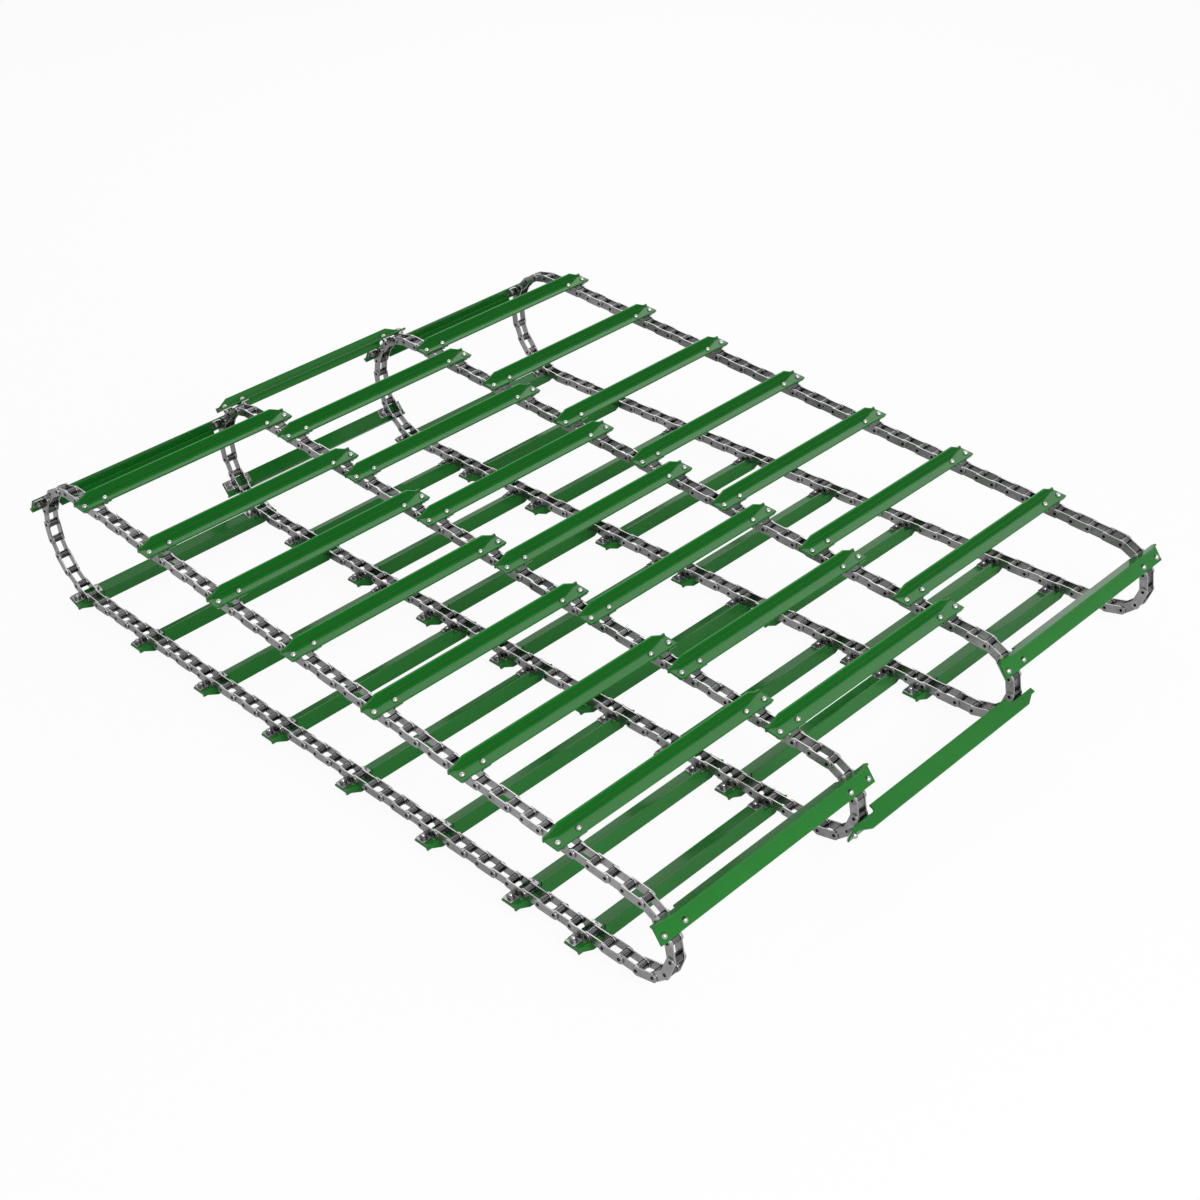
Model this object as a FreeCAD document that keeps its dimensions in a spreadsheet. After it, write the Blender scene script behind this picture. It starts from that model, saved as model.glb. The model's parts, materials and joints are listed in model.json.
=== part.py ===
import FreeCAD, Part
import Sketcher
import math
import os

# Endless slat conveyor chain: four strands of roller chain carry three rows of cross slats.
# X runs forward along the lower run, Y across the strands, Z up from the slat edges it lies on.

doc = FreeCAD.newDocument("slat_chain")

# Driving sizes in millimetres, and counts of link pairs: an inner link follows each outer one
SIZES = [
    ("pitch", "41.4"),
    ("link_pairs", "51"),
    ("strand_count", "4"),
    ("strand_spacing", "492.4"),
    ("drive_radius", "145.4"),
    ("drum_radius", "86.5"),
    ("first_slat_run", "84.9"),
    ("inner_width", "19.8"),
    ("plate_thickness", "2.6"),
    ("plate_height", "20"),
    ("side_gap", "0.3"),
    ("pin_diameter", "7.2"),
    ("pin_proud", "0.8"),
    ("pin_chamfer", "0.5"),
    ("running_fit", "0.05"),
    ("bush_diameter", "11"),
    ("roller_diameter", "16.9"),
    ("roller_play", "0.3"),
    ("roller_chamfer", "0.5"),
    ("slat_seat", "15.8"),
    ("tab_width", "25"),
    ("tab_margin", "11"),
    ("bend_radius", "2"),
    ("bolt_offset", "25.4"),
    ("bolt_diameter", "8"),
    ("bolt_clearance", "0.2"),
    ("head_diameter", "13"),
    ("head_height", "6.2"),
    ("nut_width", "13"),
    ("nut_height", "6.5"),
    ("bolt_tail", "2"),
    ("slat_overhang", "38"),
    ("slat_thickness", "4.2"),
    ("base_rear", "26.4"),
    ("base_front", "12.4"),
    ("upright_height", "16.8"),
    ("lip_depth", "17.3"),
    ("section_fillet", "2.5"),
    ("bevel_length", "35.5"),
    ("bevel_drop", "12.6"),
    ("bevel_stub", "10"),
    ("relief_inboard", "30.5"),
    ("relief_lip", "3"),
    ("relief_radius", "8"),
    ("connecting_proud", "5.5"),
    ("cotter_diameter", "2.4"),
    ("cotter_fit", "0.1"),
    ("cotter_eye", "2.6"),
    ("cotter_tail", "4"),
    ("slat_step_pairs", "3"),
    ("middle_row_lead_pairs", "1"),
    ("moved_slat_number", "8"),
    ("moved_slat_pairs", "1"),
    ("connecting_pair", "26"),
    ("front_curve_start_pair", "20"),
    ("front_curve_pairs", "3"),
    ("rear_curve_start_pair", "44"),
    ("rear_curve_pairs", "5"),
]
sheet = doc.addObject("Spreadsheet::Sheet", "sizes")
for row, (alias, text) in enumerate(SIZES, start=1):
    sheet.set("A%d" % row, alias)
    sheet.set("B%d" % row, text)
    sheet.setAlias("B%d" % row, alias)
doc.recompute()


class Size:
    """A length with its number and the formula that binds a feature to the sheet."""

    def __init__(self, formula, number):
        self.formula = formula
        self.number = float(number)

    def __float__(self):
        return self.number

    def __neg__(self):
        return Size("(-%s)" % self.formula, -self.number)

    def __add__(self, other):
        other = as_size(other)
        return Size("(%s + %s)" % (self.formula, other.formula), self.number + other.number)

    def __sub__(self, other):
        other = as_size(other)
        return Size("(%s - %s)" % (self.formula, other.formula), self.number - other.number)

    def __mul__(self, other):
        other = as_size(other)
        return Size("(%s * %s)" % (self.formula, other.formula), self.number * other.number)

    def __truediv__(self, other):
        other = as_size(other)
        return Size("(%s / %s)" % (self.formula, other.formula), self.number / other.number)


def as_size(value):
    return value if isinstance(value, Size) else Size(str(value), value)


def size(alias):
    return Size("sizes.%s" % alias, sheet.get(alias))


def count(alias):
    return int(round(float(size(alias))))


def bind(feature, name, value):
    feature.setExpression(name, as_size(value).formula)


pitch = size("pitch")
plate_thickness = size("plate_thickness")
plate_round = size("plate_height") / 2
pin_radius = size("pin_diameter") / 2
bush_radius = size("bush_diameter") / 2
roller_radius = size("roller_diameter") / 2
bolt_radius = size("bolt_diameter") / 2
cotter_radius = size("cotter_diameter") / 2

# Distances across one strand, from its middle plane
inner_plate_face = size("inner_width") / 2
bush_end = inner_plate_face + plate_thickness
outer_plate_face = bush_end + size("side_gap")
outer_plate_back = outer_plate_face + plate_thickness
pin_end = outer_plate_back + size("pin_proud")
connecting_end = outer_plate_back + size("connecting_proud")
cotter_place = (outer_plate_back + connecting_end) / 2
roller_end = inner_plate_face - size("roller_play")

# Heights over the pin line, outward from the loop
slat_seat = size("slat_seat")
tab_inside = slat_seat - plate_thickness
base_top = slat_seat + size("slat_thickness")
upright_top = base_top + size("upright_height")
lip_edge = slat_seat - size("lip_depth")
relief_top = slat_seat - size("relief_lip")

# Along the slat, from its near end
slat_length = size("strand_spacing") + size("slat_overhang") * 2
upright_rear = -size("base_rear")
upright_front = upright_rear + size("slat_thickness")
relief_end = size("slat_overhang") + size("relief_inboard")

TINY = 1e-6


def origin_plane(body, role):
    for feature in body.Origin.OriginFeatures:
        if feature.Role == role:
            return feature
    raise ValueError("no plane " + role)


def new_sketch(body, name, role):
    sketch = body.newObject("Sketcher::SketchObject", name)
    sketch.AttachmentSupport = [(origin_plane(body, role), "")]
    sketch.MapMode = "FlatFace"
    return sketch


def dimension(sketch, kind, references, name, value):
    index = sketch.addConstraint(Sketcher.Constraint(kind, *references, float(value)))
    sketch.renameConstraint(index, name)
    bind(sketch, "Constraints." + name, value)


def hold_point(sketch, geometry, point, name, place):
    """Tie one sketch point to the sketch origin along both axes."""
    across = (("DistanceX", -2, "_x"), ("DistanceY", -1, "_y"))
    for (kind, axis, suffix), value in zip(across, place):
        value = as_size(value)
        if abs(value.number) < TINY:
            sketch.addConstraint(Sketcher.Constraint("PointOnObject", geometry, point, axis))
        elif value.number > 0:
            dimension(sketch, kind, (-1, 1, geometry, point), name + suffix, value)
        else:
            dimension(sketch, kind, (geometry, point, -1, 1), name + suffix, -value)


def add_outline(sketch, name, corners):
    """A closed outline of straight edges with every corner tied to the origin."""
    points = [FreeCAD.Vector(float(x), float(y), 0) for x, y in corners]
    edges = []
    for start, end in zip(points, points[1:] + points[:1]):
        edges.append(sketch.addGeometry(Part.LineSegment(start, end), False))
    for edge, following in zip(edges, edges[1:] + edges[:1]):
        sketch.addConstraint(Sketcher.Constraint("Coincident", edge, 2, following, 1))
    for number, (edge, corner) in enumerate(zip(edges, corners)):
        hold_point(sketch, edge, 1, "%s_%d" % (name, number), corner)


def add_circle(sketch, name, centre, radius):
    middle = FreeCAD.Vector(float(centre[0]), float(centre[1]), 0)
    circle = Part.Circle(middle, FreeCAD.Vector(0, 0, 1), float(radius))
    geometry = sketch.addGeometry(circle, False)
    hold_point(sketch, geometry, 3, name, centre)
    dimension(sketch, "Radius", (geometry,), name + "_radius", radius)


def add_slot(sketch, name, length, radius):
    """Two half rounds joined by straight edges, centred on the origin along X."""
    half = float(length) / 2
    reach = float(radius)
    normal = FreeCAD.Vector(0, 0, 1)
    left = Part.Circle(FreeCAD.Vector(-half, 0, 0), normal, reach)
    right = Part.Circle(FreeCAD.Vector(half, 0, 0), normal, reach)
    rear_round = sketch.addGeometry(Part.ArcOfCircle(left, math.pi / 2, 3 * math.pi / 2), False)
    front_round = sketch.addGeometry(Part.ArcOfCircle(right, -math.pi / 2, math.pi / 2), False)
    along = FreeCAD.Vector(half, 0, 0)
    up = FreeCAD.Vector(0, reach, 0)
    top = sketch.addGeometry(Part.LineSegment(up - along, up + along), False)
    bottom = sketch.addGeometry(Part.LineSegment(-up - along, -up + along), False)
    sketch.addConstraint(Sketcher.Constraint("Tangent", rear_round, 1, top, 1))
    sketch.addConstraint(Sketcher.Constraint("Tangent", rear_round, 2, bottom, 1))
    sketch.addConstraint(Sketcher.Constraint("Tangent", front_round, 1, bottom, 2))
    sketch.addConstraint(Sketcher.Constraint("Tangent", front_round, 2, top, 2))
    hold_point(sketch, rear_round, 3, name + "_rear", (-(length / 2), 0))
    hold_point(sketch, front_round, 3, name + "_front", (length / 2, 0))
    dimension(sketch, "Radius", (rear_round,), name + "_radius", radius)


def pad(body, name, sketch, length, reverse):
    feature = body.newObject("PartDesign::Pad", name)
    feature.Profile = sketch
    bind(feature, "Length", length)
    feature.Reversed = reverse
    doc.recompute()
    return feature


def cut_through(body, name, sketch):
    """Cut a profile right through the body, both ways from its plane."""
    before = body.Tip.Shape.Volume
    feature = body.newObject("PartDesign::Pocket", name)
    feature.Profile = sketch
    feature.Type = "ThroughAll"
    feature.Midplane = True
    doc.recompute()
    if body.Shape.Volume > before - TINY:
        raise ValueError(name + " cuts nothing")
    return feature


def round_edges(body, name, radius, chosen):
    """Fillet the edges whose middle point the test accepts."""
    base = body.Tip
    edges = []
    for number, edge in enumerate(base.Shape.Edges, start=1):
        if chosen(edge.BoundBox.Center, edge.Length):
            edges.append("Edge%d" % number)
    if not edges:
        raise ValueError(name + " finds no edge")
    feature = body.newObject("PartDesign::Fillet", name)
    feature.Base = (base, edges)
    bind(feature, "Radius", radius)
    doc.recompute()
    return feature


def near(value, target):
    return abs(value - float(target)) < 0.01


def turned_piece(name, outline):
    """A body turned about the pin axis from a half section of (radius, place across)."""
    body = doc.addObject("PartDesign::Body", name)
    sketch = new_sketch(body, name + "_section", "XY_Plane")
    add_outline(sketch, "corner", outline)
    turn = body.newObject("PartDesign::Revolution", name + "_turn")
    turn.Profile = sketch
    turn.ReferenceAxis = (sketch, ["V_Axis"])
    turn.Angle = 360
    doc.recompute()
    return body


def link_plate(name, hole_radius):
    """A round-ended side plate standing from Y 0, with its two pin or bush holes."""
    body = doc.addObject("PartDesign::Body", name)
    sketch = new_sketch(body, name + "_outline", "XZ_Plane")
    add_slot(sketch, "slot", pitch, plate_round)
    for end, place in (("rear", -(pitch / 2)), ("front", pitch / 2)):
        add_circle(sketch, "hole_" + end, (place, 0), hole_radius)
    pad(body, name + "_pad", sketch, plate_thickness, True)
    return body


def add_block(body, name, low, high):
    """A box between two corners, added to the body."""
    block = body.newObject("PartDesign::AdditiveBox", name)
    for side, start, end in zip(("Length", "Width", "Height"), low, high):
        bind(block, side, end - start)
    for axis, start in zip("xyz", low):
        bind(block, "Placement.Base." + axis, start)
    doc.recompute()
    return block


def attachment_plate(name):
    """An outer side plate whose middle rises and bends outward into a bolting tab."""
    body = link_plate(name, pin_radius)
    half_width = size("tab_width") / 2
    tab_end = size("bolt_offset") + size("tab_margin") - outer_plate_face
    zero = as_size(0)
    add_block(body, name + "_riser", (-half_width, zero, zero), (half_width, plate_thickness, slat_seat))
    add_block(body, name + "_tab", (-half_width, zero, tab_inside), (half_width, tab_end, slat_seat))

    def inside_bend(at, length):
        return near(at.y, plate_thickness) and near(at.z, tab_inside) and near(length, size("tab_width"))

    def outside_bend(at, length):
        return near(at.y, 0) and near(at.z, slat_seat) and near(length, size("tab_width"))

    round_edges(body, name + "_inside_bend", size("bend_radius"), inside_bend)
    round_edges(body, name + "_outside_bend", size("bend_radius"), outside_bend)
    sketch = new_sketch(body, name + "_bolt_hole", "XY_Plane")
    hole_place = size("bolt_offset") - outer_plate_face
    add_circle(sketch, "bolt", (zero, hole_place), bolt_radius + size("bolt_clearance"))
    cut_through(body, name + "_hole", sketch)
    return body


def make_slat():
    """A cross slat: base flange on the chains, upright paddle, and a lip relieved over the chains."""
    body = doc.addObject("PartDesign::Body", "slat")
    section = new_sketch(body, "slat_section", "XZ_Plane")
    corners = [
        (upright_rear, lip_edge),
        (upright_front, lip_edge),
        (upright_front, slat_seat),
        (size("base_front"), slat_seat),
        (size("base_front"), base_top),
        (upright_front, base_top),
        (upright_front, upright_top),
        (upright_rear, upright_top),
    ]
    add_outline(section, "corner", corners)
    pad(body, "slat_pad", section, slat_length, True)

    def inside_corner(at, length):
        return near(at.x, upright_front) and (near(at.z, base_top) or near(at.z, slat_seat))

    round_edges(body, "slat_section_fillet", size("section_fillet"), inside_corner)
    bevels = new_sketch(body, "slat_bevels", "YZ_Plane")
    bevel_foot = upright_top - size("bevel_drop")
    near_bevel = [
        (0, bevel_foot),
        (size("bevel_stub"), bevel_foot),
        (size("bevel_length"), upright_top),
        (0, upright_top),
    ]
    far_bevel = [
        (slat_length, bevel_foot),
        (slat_length, upright_top),
        (slat_length - size("bevel_length"), upright_top),
        (slat_length - size("bevel_stub"), bevel_foot),
    ]
    add_outline(bevels, "near", near_bevel)
    add_outline(bevels, "far", far_bevel)
    cut_through(body, "slat_bevel_cut", bevels)
    reliefs = new_sketch(body, "slat_reliefs", "YZ_Plane")
    far_relief = slat_length - relief_end
    near_relief_corners = [(0, lip_edge), (relief_end, lip_edge), (relief_end, relief_top), (0, relief_top)]
    far_relief_corners = [
        (far_relief, lip_edge),
        (slat_length, lip_edge),
        (slat_length, relief_top),
        (far_relief, relief_top),
    ]
    add_outline(reliefs, "near", near_relief_corners)
    add_outline(reliefs, "far", far_relief_corners)
    cut_through(body, "slat_relief_cut", reliefs)

    def relief_corner(at, length):
        return near(at.z, relief_top) and (near(at.y, relief_end) or near(at.y, far_relief))

    round_edges(body, "slat_relief_round", size("relief_radius"), relief_corner)
    holes = new_sketch(body, "slat_holes", "XY_Plane")
    hole_radius = bolt_radius + size("bolt_clearance")
    for chain, middle in enumerate((size("slat_overhang"), slat_length - size("slat_overhang"))):
        for side, offset in enumerate((-size("bolt_offset"), size("bolt_offset"))):
            add_circle(holes, "bolt_%d_%d" % (chain, side), (as_size(0), middle + offset), hole_radius)
    cut_through(body, "slat_bolt_holes", holes)
    return body


def make_bolt():
    """A domed bolt standing on the slat base, with its shank down through the tab and nut."""
    head_radius = size("head_diameter") / 2
    head_height = size("head_height")
    dome_radius = (head_radius * head_radius + head_height * head_height) / (head_height * 2)
    dome = doc.addObject("Part::Sphere", "bolt_dome")
    bind(dome, "Radius", dome_radius)
    dome_drop = dome_radius - head_height
    dome.setExpression("Angle1", "asin(%s / %s)" % (dome_drop.formula, dome_radius.formula))
    bind(dome, "Placement.Base.z", base_top - dome_drop)
    shank = doc.addObject("Part::Cylinder", "bolt_shank")
    shank_end = tab_inside - size("nut_height") - size("bolt_tail")
    bind(shank, "Radius", bolt_radius)
    bind(shank, "Height", base_top - shank_end + size("head_height") / 2)
    bind(shank, "Placement.Base.z", shank_end)
    bolt = doc.addObject("Part::Fuse", "bolt")
    bolt.Base = dome
    bolt.Tool = shank
    bolt.Refine = True
    doc.recompute()
    return bolt


def make_nut():
    """A hexagon nut seated under the tab."""
    block = doc.addObject("Part::Prism", "nut_block")
    block.Polygon = 6
    block.setExpression("Circumradius", "%s / cos(30)" % (size("nut_width") / 2).formula)
    bind(block, "Height", size("nut_height"))
    bind(block, "Placement.Base.z", tab_inside - size("nut_height"))
    bore = doc.addObject("Part::Cylinder", "nut_bore")
    bind(bore, "Radius", bolt_radius)
    bind(bore, "Height", size("nut_height"))
    bind(bore, "Placement.Base.z", tab_inside - size("nut_height"))
    nut = doc.addObject("Part::Cut", "nut")
    nut.Base = block
    nut.Tool = bore
    doc.recompute()
    return nut


def make_connecting_pin():
    """A longer pin, cross-drilled past the plate for its cotter."""
    chamfer = size("pin_chamfer")
    blank = turned_piece("connecting_pin_blank", pin_outline(-pin_end, connecting_end, chamfer))
    drill = doc.addObject("Part::Cylinder", "cotter_hole")
    bind(drill, "Radius", cotter_radius + size("cotter_fit"))
    bind(drill, "Height", size("pin_diameter") * 2)
    bind(drill, "Placement.Base.y", cotter_place)
    bind(drill, "Placement.Base.z", -size("pin_diameter"))
    pin = doc.addObject("Part::Cut", "connecting_pin")
    pin.Base = blank
    pin.Tool = drill
    doc.recompute()
    return pin


def make_cotter():
    """A cotter through the connecting pin, its eye standing outward."""
    shank = doc.addObject("Part::Cylinder", "cotter_shank")
    shank_start = -(pin_radius + size("cotter_tail"))
    eye_centre = pin_radius + size("cotter_eye") + cotter_radius / 2
    bind(shank, "Radius", cotter_radius)
    bind(shank, "Height", eye_centre - size("cotter_eye") - shank_start)
    bind(shank, "Placement.Base.y", cotter_place)
    bind(shank, "Placement.Base.z", shank_start)
    eye = doc.addObject("Part::Torus", "cotter_eye_ring")
    bind(eye, "Radius1", size("cotter_eye"))
    bind(eye, "Radius2", cotter_radius / 2)
    eye.Placement = FreeCAD.Placement(FreeCAD.Vector(), FreeCAD.Rotation(FreeCAD.Vector(1, 0, 0), 90))
    bind(eye, "Placement.Base.y", cotter_place)
    bind(eye, "Placement.Base.z", eye_centre)
    cotter = doc.addObject("Part::Fuse", "cotter")
    cotter.Base = shank
    cotter.Tool = eye
    doc.recompute()
    return cotter


def pin_outline(start, end, chamfer):
    """Half section of a pin between two places across the strand, with both ends chamfered."""
    return [
        (as_size(0), start),
        (pin_radius - chamfer, start),
        (pin_radius, start + chamfer),
        (pin_radius, end - chamfer),
        (pin_radius - chamfer, end),
        (as_size(0), end),
    ]


def plain_pin(start, end):
    return [(as_size(0), start), (pin_radius, start), (pin_radius, end), (as_size(0), end)]


def tube_outline(bore, outer, half_length, chamfer):
    return [
        (bore, -half_length),
        (outer - chamfer, -half_length),
        (outer, -half_length + chamfer),
        (outer, half_length - chamfer),
        (outer - chamfer, half_length),
        (bore, half_length),
    ]


def bush_outline():
    bore = pin_radius + size("running_fit")
    return [(bore, -bush_end), (bush_radius, -bush_end), (bush_radius, bush_end), (bore, bush_end)]


inner_plate = link_plate("inner_plate", bush_radius)
outer_plate = link_plate("outer_plate", pin_radius)
tabbed_plate = attachment_plate("attachment_plate")
bush = turned_piece("bush", bush_outline())
roller_bore = bush_radius + size("running_fit")
roller = turned_piece("roller", tube_outline(roller_bore, roller_radius, roller_end, size("roller_chamfer")))
pin = turned_piece("pin", pin_outline(-pin_end, pin_end, size("pin_chamfer")))
pin_core = turned_piece("pin_core", plain_pin(-bush_end, bush_end))
pin_stub = turned_piece("pin_stub", plain_pin(outer_plate_face, pin_end))
connecting_pin = make_connecting_pin()
cotter = make_cotter()
slat = make_slat()
bolt = make_bolt()
nut = make_nut()

# The loop the pins lie on: lower run, drum wrap at the front, upper run, drive wrap at the rear
drive_radius = float(size("drive_radius"))
drum_radius = float(size("drum_radius"))
link_pitch = float(pitch)
links = 2 * count("link_pairs")
first_pin_run = float(size("first_slat_run")) - link_pitch / 2


def upper_slope(run):
    """Angle between the two runs for a given straight length."""
    return 2 * math.atan2(drive_radius - drum_radius, run)


def loop_length(run):
    slope = upper_slope(run)
    return 2 * run + drum_radius * (math.pi - slope) + drive_radius * (math.pi + slope)


def loop_point(run, along):
    """Point (x, z) on the loop, measured from the rear end of the upper run."""
    slope = upper_slope(run)
    along = along % loop_length(run)
    if along <= run:
        start_x = drive_radius * math.sin(slope)
        start_z = drive_radius + drive_radius * math.cos(slope)
        return start_x + along * math.cos(slope), start_z - along * math.sin(slope)
    along = along - run
    drum_wrap = drum_radius * (math.pi - slope)
    if along <= drum_wrap:
        angle = math.pi / 2 - slope - along / drum_radius
        return run + drum_radius * math.cos(angle), drum_radius + drum_radius * math.sin(angle)
    along = along - drum_wrap
    if along <= run:
        return run - along, 0.0
    angle = -math.pi / 2 - (along - run) / drive_radius
    return drive_radius * math.cos(angle), drive_radius + drive_radius * math.sin(angle)


BISECTIONS = 60


def next_pin(run, along):
    """Distance along the loop at which the straight pitch to the pin before is exact."""
    x, z = loop_point(run, along)
    short = along + link_pitch / 2
    long = along + link_pitch * 2
    for step in range(BISECTIONS):
        middle = (short + long) / 2
        next_x, next_z = loop_point(run, middle)
        if math.hypot(next_x - x, next_z - z) < link_pitch:
            short = middle
        else:
            long = middle
    return (short + long) / 2


def pin_places(run):
    """Distances of every pin, with the last one coming round to the first again."""
    places = [first_pin_run]
    for link in range(links):
        places.append(next_pin(run, places[-1]))
    return places


def closing_run():
    """Straight length at which the chain of links closes on itself."""
    wraps = math.pi * (drive_radius + drum_radius)
    short = (links * link_pitch - wraps) / 2 - 2 * link_pitch
    long = short + 4 * link_pitch
    for step in range(BISECTIONS):
        middle = (short + long) / 2
        if pin_places(middle)[-1] - first_pin_run > loop_length(middle):
            short = middle
        else:
            long = middle
    return (short + long) / 2


straight_run = closing_run()
line_height = float(upright_top)
pins = []
for place in pin_places(straight_run)[:-1]:
    pin_x, pin_z = loop_point(straight_run, place)
    pins.append((pin_x, pin_z + line_height))

strands = count("strand_count")
strand_places = []
for strand in range(strands):
    strand_places.append((strand - (strands - 1) / 2) * float(size("strand_spacing")))


def link_ends(link):
    return pins[link % links], pins[(link + 1) % links]


def link_turn(link):
    """Rotation that lays a piece along a link, with its outward side away from the loop."""
    (rear_x, rear_z), (front_x, front_z) = link_ends(link)
    angle = math.degrees(math.atan2(rear_z - front_z, front_x - rear_x))
    return FreeCAD.Rotation(FreeCAD.Vector(0, 1, 0), angle)


def link_place(link, across):
    (rear_x, rear_z), (front_x, front_z) = link_ends(link)
    middle = FreeCAD.Vector((rear_x + front_x) / 2, across, (rear_z + front_z) / 2)
    return FreeCAD.Placement(middle, link_turn(link))


def pin_place(pin_number, link, across):
    x, z = pins[pin_number % links]
    return FreeCAD.Placement(FreeCAD.Vector(x, across, z), link_turn(link))


HALF_TURN = FreeCAD.Placement(FreeCAD.Vector(), FreeCAD.Rotation(FreeCAD.Vector(0, 0, 1), 180))


def across_offset(distance):
    return FreeCAD.Placement(FreeCAD.Vector(0, float(distance), 0), FreeCAD.Rotation())


def copy_at(piece, place):
    shape = piece.Shape.copy()
    shape.Placement = place.multiply(shape.Placement)
    return shape


def both_sides(piece, place, face):
    """A plate on each side of a strand, facing outward."""
    far = place.multiply(across_offset(face))
    near_side = place.multiply(HALF_TURN).multiply(across_offset(face))
    return [copy_at(piece, far), copy_at(piece, near_side)]


# Slats by row: the outer rows share their links, the middle row leads them, one slat is moved on
slats_per_row = count("link_pairs") // count("slat_step_pairs")
slat_pairs = [number * count("slat_step_pairs") for number in range(slats_per_row)]
slat_pairs[count("moved_slat_number")] += count("moved_slat_pairs")
outer_row_links = [2 * pair for pair in slat_pairs]
middle_row_links = [(link + 2 * count("middle_row_lead_pairs")) % links for link in outer_row_links]
row_links = [outer_row_links if row % 2 == 0 else middle_row_links for row in range(strands - 1)]

# Link numbers: the wrapped stretches start and the rear one ends with an inner link
front_first = 2 * count("front_curve_start_pair") + 1
front_total = 2 * count("front_curve_pairs")
rear_first = 2 * count("rear_curve_start_pair") + 1
rear_total = 2 * count("rear_curve_pairs") + 1
lower_first = front_first + front_total
open_pin = lower_first
connecting_link = 2 * count("connecting_pair")


def is_inner(link):
    return link % 2 == 1


def carries_slat(link, strand):
    rows = [row for row in (strand - 1, strand) if 0 <= row < strands - 1]
    return any(link in row_links[row] for row in rows)


def inner_plates(link):
    found = []
    for across in strand_places:
        found += both_sides(inner_plate, link_place(link, across), inner_plate_face)
    return found


def at_both_pins(piece, link):
    found = []
    for across in strand_places:
        for pin_number in (link, link + 1):
            found.append(copy_at(piece, pin_place(pin_number, link, across)))
    return found


def rollers_at(pin_number, link):
    return [copy_at(roller, pin_place(pin_number, link, across)) for across in strand_places]


def outer_plates(link, with_tabs):
    """The outer plates of one link on every strand that has, or lacks, a slat there."""
    found = []
    for strand, across in enumerate(strand_places):
        if carries_slat(link, strand) == with_tabs:
            piece = tabbed_plate if with_tabs else outer_plate
            found += both_sides(piece, link_place(link, across), outer_plate_face)
    return found


def link_pins(link):
    """Riveted pins of an outer link; at the open pivot only their ends stay in the plates."""
    found = []
    for across in strand_places:
        for pin_number in (link, link + 1):
            place = pin_place(pin_number, link, across)
            if pin_number == open_pin:
                found.append(copy_at(pin_stub, place))
                found.append(copy_at(pin_stub, place.multiply(HALF_TURN)))
            else:
                found.append(copy_at(pin, place))
    return found


def row_slats(link, row):
    """The slat of one row on a link, if it has one."""
    if link not in row_links[row]:
        return []
    return [copy_at(slat, link_place(link, strand_places[row] - float(size("slat_overhang"))))]


def fasteners(piece, link):
    """One piece at every slat bolt of a link."""
    found = []
    offset = float(size("bolt_offset"))
    for row in range(strands - 1):
        if link in row_links[row]:
            for strand in (row, row + 1):
                for side in (-offset, offset):
                    found.append(copy_at(piece, link_place(link, strand_places[strand] + side)))
    return found


nodes = []


def add_node(name, shapes):
    """A named sub-part made of its separate solids, where they lie on the loop."""
    if shapes:
        feature = doc.addObject("Part::Feature", name)
        feature.Label = name
        feature.Shape = Part.makeCompound(shapes)
        nodes.append(feature)


def gather(make, chosen):
    found = []
    for link in chosen:
        found += make(link)
    return found


def add_run(name, run_links):
    """A straight run, with one node for each kind of piece."""
    inner = [link for link in run_links if is_inner(link)]
    outer = [link for link in run_links if not is_inner(link)]
    riveted = [link for link in outer if link != connecting_link]
    add_node(name + "_inner_plates", gather(inner_plates, inner))
    add_node(name + "_bushes", gather(lambda link: at_both_pins(bush, link), inner))
    add_node(name + "_rollers", gather(lambda link: at_both_pins(roller, link), inner))
    add_node(name + "_outer_plates", gather(lambda link: outer_plates(link, False), outer))
    add_node(name + "_attachment_plates", gather(lambda link: outer_plates(link, True), outer))
    cores = []
    if open_pin in run_links:
        cores = [copy_at(pin_core, pin_place(open_pin, open_pin, across)) for across in strand_places]
    add_node(name + "_pins", gather(link_pins, riveted) + cores)
    for row in range(strands - 1):
        add_node("%s_slats_row_%d" % (name, row + 1), gather(lambda link: row_slats(link, row), outer))
    add_node(name + "_bolts", gather(lambda link: fasteners(bolt, link), outer))
    add_node(name + "_nuts", gather(lambda link: fasteners(nut, link), outer))
    if connecting_link in run_links:
        add_node("connecting_pins", at_both_pins(connecting_pin, connecting_link))
        add_node("connecting_cotters", at_both_pins(cotter, connecting_link))


def add_curve(name, first, total, free_rollers):
    """A wrapped stretch, with every link a sub-part of its own."""
    for number, link in enumerate(range(first, first + total), start=1):
        tag = "%s_link_%02d" % (name, number)
        if is_inner(link):
            shapes = inner_plates(link) + at_both_pins(bush, link)
            if free_rollers:
                add_node("%s_rollers_%02d" % (name, number), rollers_at(link, link))
                add_node("%s_rollers_%02d" % (name, number + 1), rollers_at(link + 1, link))
            else:
                shapes += at_both_pins(roller, link)
            add_node(tag, shapes)
        else:
            add_node(tag, outer_plates(link, False) + outer_plates(link, True) + link_pins(link))
            slats = gather(lambda row: row_slats(link, row), range(strands - 1))
            add_node("%s_slats_%02d" % (name, number), slats)
            add_node("%s_fasteners_%02d" % (name, number), fasteners(bolt, link) + fasteners(nut, link))


add_run("lower", list(range(lower_first, rear_first)))
add_curve("rear", rear_first, rear_total, False)
add_run("upper", list(range(rear_first + rear_total, links)) + list(range(front_first)))
add_curve("front", front_first, front_total, True)

# The origin stands under the middle of the loop, on the plane of the lowest slat edges
whole = FreeCAD.BoundBox()
for feature in nodes:
    whole.add(feature.Shape.BoundBox)
origin_shift = FreeCAD.Vector(-whole.Center.x, -whole.Center.y, -whole.ZMin)
for feature in nodes:
    feature.Placement = FreeCAD.Placement(origin_shift, FreeCAD.Rotation())
doc.recompute()

for thing in doc.Objects:
    if "Invalid" in thing.State or "Error" in thing.State:
        raise ValueError(thing.Name + " failed")
for feature in nodes:
    if feature.Shape.isNull() or not feature.Shape.isValid():
        raise ValueError(feature.Label + " has a bad shape")

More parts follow.
